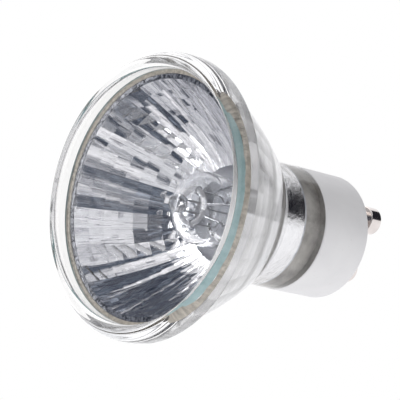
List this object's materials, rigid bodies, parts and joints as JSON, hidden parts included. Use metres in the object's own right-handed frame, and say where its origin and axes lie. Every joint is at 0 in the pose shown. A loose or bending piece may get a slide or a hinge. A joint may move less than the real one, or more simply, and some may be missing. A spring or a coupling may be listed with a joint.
{
  "type": "halogen bulb",
  "caption": "Mains halogen reflector lamp: faceted mirrored glass bowl with a flat cover, quartz capsule inside, glass neck, ceramic base and two headed contact pins.",
  "frame": {"origin": "centre of the rim's front face, at the foot of the lamp as it stands face down", "axes": "+Z along the lamp's axis from the rim to the pins; the two pins lie along X"},
  "size_m": [0.05, 0.05, 0.055],
  "materials": {
    "reflector_glass": "clear pressed borosilicate glass, smooth outside",
    "mirror_coating": "bright vapour-deposited metal film",
    "cover_glass": "clear flat glass with a green edge",
    "silicone": "beige cured sealant, slightly grainy",
    "quartz": "clear blown quartz",
    "tungsten": "grey drawn tungsten",
    "support_wire": "bright drawn molybdenum",
    "lead_wire": "plain drawn wire",
    "molybdenum_foil": "rolled foil",
    "cement": "dry grey lamp cement, mottled",
    "ceramic": "fine pale steatite, satin",
    "pin_metal": "polished nickel plating"
  },
  "bodies": {
    "root": {"reflector_glass": "reflector_glass", "mirror_coating": "mirror_coating", "cover_glass": "cover_glass", "sealant_ring": "silicone", "capsule": "quartz", "filament_coil": "tungsten", "filament_support_1": "support_wire", "filament_support_2": "support_wire", "filament_support_3": "support_wire", "inner_lead_left": "lead_wire", "inner_lead_right": "lead_wire", "foil_left": "molybdenum_foil", "foil_right": "molybdenum_foil", "outer_lead_left": "lead_wire", "outer_lead_right": "lead_wire", "neck_cement": "cement", "ceramic_base": "ceramic", "contact_pin_left": "pin_metal", "contact_pin_right": "pin_metal"}
  },
  "joints": []
}
